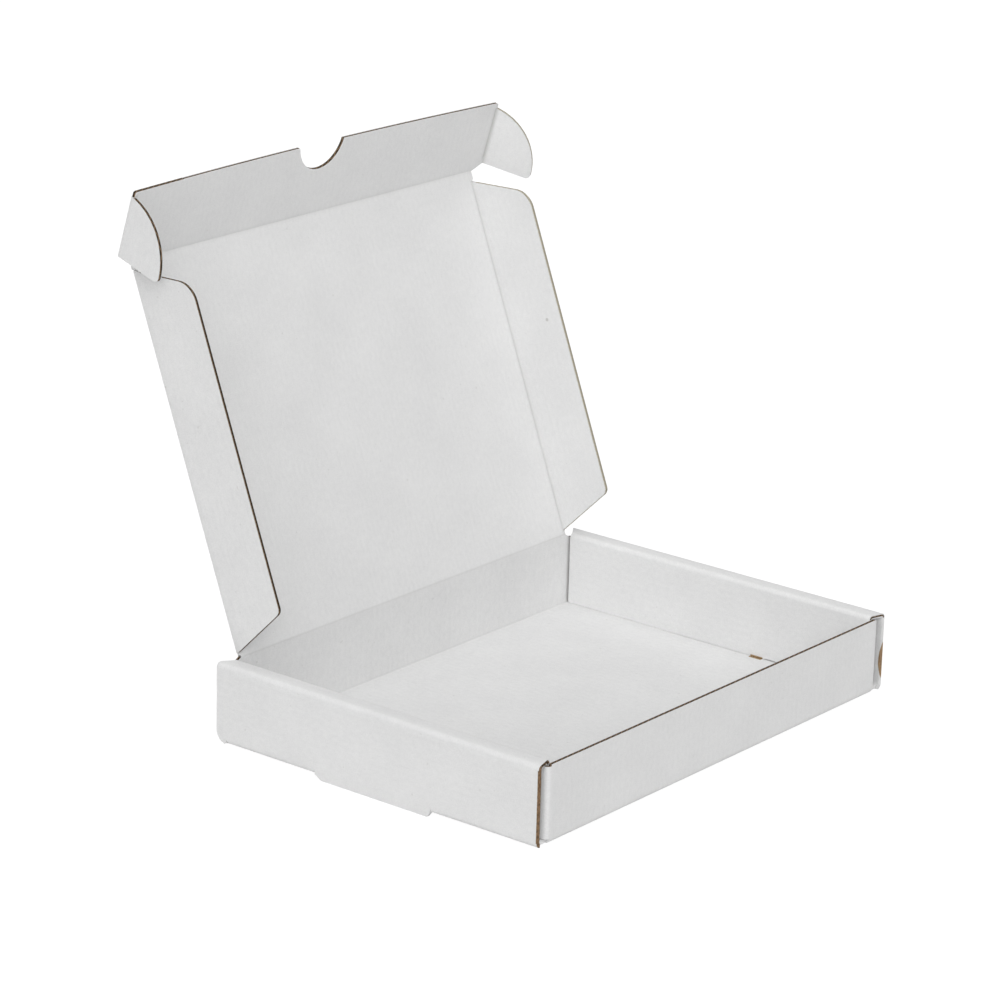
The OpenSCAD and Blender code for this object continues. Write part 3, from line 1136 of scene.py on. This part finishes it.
@dataclass
class SideFlap:
    """A flap that goes inside the tray beside its inner wall."""

    board: Board
    lid: Lid
    hand: Hand
    width: float = 28.0
    fold: float = 88.5
    front_run: float = 10.08
    back_run: float = 12.32
    front_round: float = 6.35
    back_round: float = 1.96
    round_steps: int = 8
    cell: float = 25.0
    cell_start: float = 22.5

    def build(self, finishes: Finishes) -> bpy.types.Object:
        """Cut and build up the flap and fold it on the lid.

        Args:
            finishes: Its materials.

        Returns:
            The finished flap.
        """
        board, (front, back) = self.board, self.lid.flap_span
        front_tip, back_tip = (self.width, front + self.front_run), (self.width, back - self.back_run)
        sheet = Sheet(board)
        sheet.outline([(0.0, front), front_tip, back_tip, (0.0, back)])
        sheet.close()
        sheet.round_points([(front_tip, self.front_round), (back_tip, self.back_round)], self.round_steps)
        sheet.cut(Across.X, [board.crease_reach])
        count = int((back - front) / self.cell)
        sheet.cut(Across.Y, [front + self.cell_start + self.cell * step for step in range(count)])
        sheet.build_up()
        sheet.mark(Slot.LINER, (-TINY, board.crease_reach, front - TINY, front + board.crease_reach))
        sheet.recut(self.hand.cut)
        sheet.round_fold(Across.X, 0.0, -1, (front, back), board.side_crease_shade)
        side = self.hand.value
        sheet.note_flat(lambda spot: (side * (self.lid.fold_x + spot.x), self.lid.sheet_start - spot.y))
        place = self.hand.swing(self.lid.frame, self.lid.fold_x, self.fold) @ board.seat
        node = f"{self.hand.name.lower()}_side_flap"
        return sheet.finish(f"{node}_board", place, node, finishes)


@dataclass
class FrontFlap:
    """The flap with the thumb notch that closes over the front wall."""

    board: Board
    lid: Lid
    length: float = 30.0
    fold: float = 37.5
    ear_x: float = 107.0
    ear_span: Point = (-27.8, -2.8)
    notch_half: float = 13.0
    notch_depth: float = 10.7
    notch_steps: int = 24
    corner: float = 0.8
    corner_steps: int = 4
    bow: float = 2.2
    bow_power: float = 1.3
    rows: Sequence[float] = (-8.0, -13.0, -18.0, -23.0)
    cells: Sequence[float] = (-95.0, -80.0, -65.0, -50.0, -37.0, -24.0, 24.0, 37.0, 50.0, 65.0, 80.0, 95.0)

    @property
    def frame(self) -> Matrix:
        """The flap's frame: its fold is the X axis, and the flap lies along -Y."""
        turn = Matrix.Rotation(math.radians(self.fold), 4, "X")
        return self.lid.frame @ Matrix.Translation((0, -self.lid.length, 0)) @ turn

    def build(self, finishes: Finishes) -> bpy.types.Object:
        """Cut and build up the flap with its notch, and fold it on the lid.

        Args:
            finishes: Its materials.

        Returns:
            The finished flap.
        """
        board, edge = self.board, -self.length
        fold_x = self.lid.half_width
        sheet = Sheet(board)
        right = [(fold_x, 0.0), (self.ear_x, self.ear_span[1]), (self.ear_x, edge)]
        start = sheet.outline([*right, (self.notch_half, edge)])[-1]
        radius = (self.notch_half ** 2 + self.notch_depth ** 2) / (2 * self.notch_depth)
        turn = 2 * math.asin(self.notch_half / radius)
        end = sheet.sweep(start, (0.0, edge + self.notch_depth - radius), turn, self.notch_steps)
        left = sheet.outline([(-x, y) for x, y in reversed(right)])
        sheet.bm.edges.new((end, left[0]))
        sheet.close()
        corners = [((hand.value * self.ear_x, edge), self.corner) for hand in reversed(Hand)]
        sheet.round_points(corners, self.corner_steps)
        inner = self.ear_x - board.crease_reach
        sheet.cut(Across.X, [*self.cells, inner, -inner])
        sheet.cut(Across.Y, [-board.crease_reach, *self.rows, self.ear_span[0]])
        sheet.build_up()
        sheet.mark(Slot.PINCHED, (self.cells[1], self.ear_x, edge - TINY, edge + TINY))
        sheet.round_fold(Across.Y, 0.0, 1, (-fold_x, fold_x), board.flap_crease_shade)
        for hand in Hand:
            fold = hand.value * self.ear_x
            sheet.round_fold(Across.X, fold, hand.value, self.ear_span, board.ear_crease_shade, board.bead_sink)
        origin = self.lid.sheet_start + self.lid.length
        sheet.note_flat(lambda spot: (spot.x, origin - spot.y))
        for vert in sheet.bm.verts:
            reach = min(max(-vert.co.y / self.length, 0.0), 1.0)
            vert.co.z += self.bow * max(1 - (vert.co.x / self.ear_x) ** 2, 0.0) * reach ** self.bow_power
        return sheet.finish("front_flap_board", self.frame @ board.seat, "front_flap", finishes)


@dataclass
class Ear:
    """A quarter-round ear of the front flap, which slides into a side wall."""

    board: Board
    flap: FrontFlap
    hand: Hand
    fold: float
    flare: float = 1.8
    lead: float = 1.0
    sink: float = 3.0
    tip_radius: float = 2.0
    tip_steps: int = 8
    arc_steps: int = 16

    def build(self, finishes: Finishes) -> bpy.types.Object:
        """Cut and build up the ear and fold it on the front flap.

        Args:
            finishes: Its materials.

        Returns:
            The finished ear.
        """
        board, (end, start) = self.board, self.flap.ear_span
        length = start - end
        radius = math.hypot(self.sink, length - self.lead)
        centre = Vector((-self.sink, start - self.lead))
        slope = math.radians(self.flare)
        edge = Vector((math.cos(slope), math.sin(slope)))
        root = Vector((0.0, start)) + Vector((edge.y, -edge.x)) * self.tip_radius
        off = root - centre
        run = math.sqrt(off.dot(edge) ** 2 - off.dot(off) + (radius - self.tip_radius) ** 2) - off.dot(edge)
        tip = root + edge * run
        tip_turn = math.atan2(tip.y - centre.y, tip.x - centre.x)
        end_turn = math.atan2(self.lead - length, self.sink)
        sheet = Sheet(board)
        corner = sheet.outline([(0.0, start), tuple(Vector((0.0, start)) + edge * run)])[-1]
        corner = sheet.sweep(corner, tuple(tip), tip_turn - math.pi / 2 - slope, self.tip_steps)
        sheet.sweep(corner, tuple(centre), end_turn - tip_turn, self.arc_steps)
        sheet.close()
        sheet.cut(Across.X, [board.crease_reach])
        sheet.build_up()
        sheet.recut(self.hand.cut)
        sheet.round_fold(Across.X, 0.0, -1, (end, start), board.ear_crease_shade)
        side, lid = self.hand.value, self.flap.lid
        origin = lid.sheet_start + lid.length
        sheet.note_flat(lambda spot: (side * (self.flap.ear_x + spot.x), origin - spot.y))
        place = self.hand.swing(self.flap.frame, self.flap.ear_x, self.fold) @ board.seat
        node = f"{self.hand.name.lower()}_ear"
        return sheet.finish(f"{node}_board", place, node, finishes)


@dataclass(frozen=True)
class Lamp:
    """A square soft lamp that faces the box, with its side in metres and its power in watts."""

    name: str
    place: Place
    size: float
    power: float
    aim: Place = (0.0, 0.03, 0.08)

    def build(self) -> None:
        """Hang the lamp in its place."""
        data = bpy.data.lights.new(self.name, "AREA")
        data.size, data.energy = self.size, self.power
        lamp = bpy.data.objects.new(self.name, data)
        turn = (Vector(self.aim) - Vector(self.place)).to_track_quat("-Z", "Y")
        lamp.matrix_world = Matrix.Translation(self.place) @ turn.to_matrix().to_4x4()
        bpy.context.scene.collection.objects.link(lamp)


@dataclass
class Studio:
    """White studio: camera at the photograph's angle, a pale floor, soft lamps and an even white sky."""

    camera_place: Place = (-1.1702, -0.8966, 0.5699)
    azimuth: float = -51.58
    elevation: float = 18.14
    roll: float = -1.54
    lens: float = 146.4
    sensor: float = 36.0
    floor_level: float = -0.0019
    floor_size: float = 4.0
    sky: float = 0.34
    lamps: Sequence[Lamp] = (
        Lamp("key", (-3.8, -1.0, 1.9), 3.0, 47.0),
        Lamp("front", (-2.2, -2.8, 2.8), 2.6, 77.0),
        Lamp("top", (0.0, -0.3, 4.0), 3.0, 34.0),
        Lamp("fill", (0.4, -3.8, 1.4), 3.0, 4.0),
        Lamp("back", (1.4, 3.6, 2.2), 3.0, 18.0),
    )

    def shoot(self) -> None:
        """Set up the camera."""
        place = Matrix.Translation(self.camera_place)
        for angle, axis in ((self.azimuth, "Z"), (90 - self.elevation, "X"), (-self.roll, "Z")):
            place = place @ Matrix.Rotation(math.radians(angle), 4, axis)
        data = bpy.data.cameras.new("camera")
        data.lens, data.sensor_width = self.lens, self.sensor
        camera = bpy.data.objects.new("camera", data)
        camera.matrix_world = place
        bpy.context.scene.collection.objects.link(camera)
        bpy.context.scene.camera = camera

    def light(self) -> None:
        """Set up the lamps, and a sky that is white to the camera and dimmer as a light."""
        for lamp in self.lamps:
            lamp.build()
        recipe = Recipe(bpy.data.worlds.new("white_sky"))
        strength = self.sky + (1 - self.sky) * recipe.seen()
        sky = recipe.node("ShaderNodeBackground", {}, {"Color": WHITE, "Strength": strength})
        recipe.node("ShaderNodeOutputWorld", {}, {"Surface": sky.outputs[0]})
        bpy.context.scene.world = recipe.owner

    def lay_floor(self) -> None:
        """Lay the floor under the box."""
        bm = bmesh.new()
        bmesh.ops.create_grid(bm, x_segments=1, y_segments=1, size=self.floor_size)
        bmesh.ops.translate(bm, vec=(0, 0, self.floor_level), verts=bm.verts[:])
        mesh = bpy.data.meshes.new("floor")
        bm.to_mesh(mesh)
        bm.free()
        floor = bpy.data.objects.new("floor", mesh)
        mesh.materials.append(FloorFinish().material())
        bpy.context.scene.collection.objects.link(floor)

    def build(self) -> None:
        """Set up the whole studio."""
        bpy.context.scene.view_settings.view_transform = "Standard"
        self.shoot()
        self.light()
        self.lay_floor()


def main() -> None:
    """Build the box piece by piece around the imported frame, and set up the studio."""
    logging.basicConfig(level=logging.INFO, format="%(name)s: %(message)s")
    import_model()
    board = Board()
    finishes = Finishes(board)
    lid = Lid(board)
    flap = FrontFlap(board, lid)
    parts = [
        Tray(board), lid, SideFlap(board, lid, Hand.LEFT), SideFlap(board, lid, Hand.RIGHT), flap,
        Ear(board, flap, Hand.LEFT, fold=89.0), Ear(board, flap, Hand.RIGHT, fold=62.5),
    ]
    for part in parts:
        piece = part.build(finishes)
        log.info("%s: %d faces", piece.name, len(piece.data.polygons))
    Studio().build()


if __name__ == "__main__":
    main()
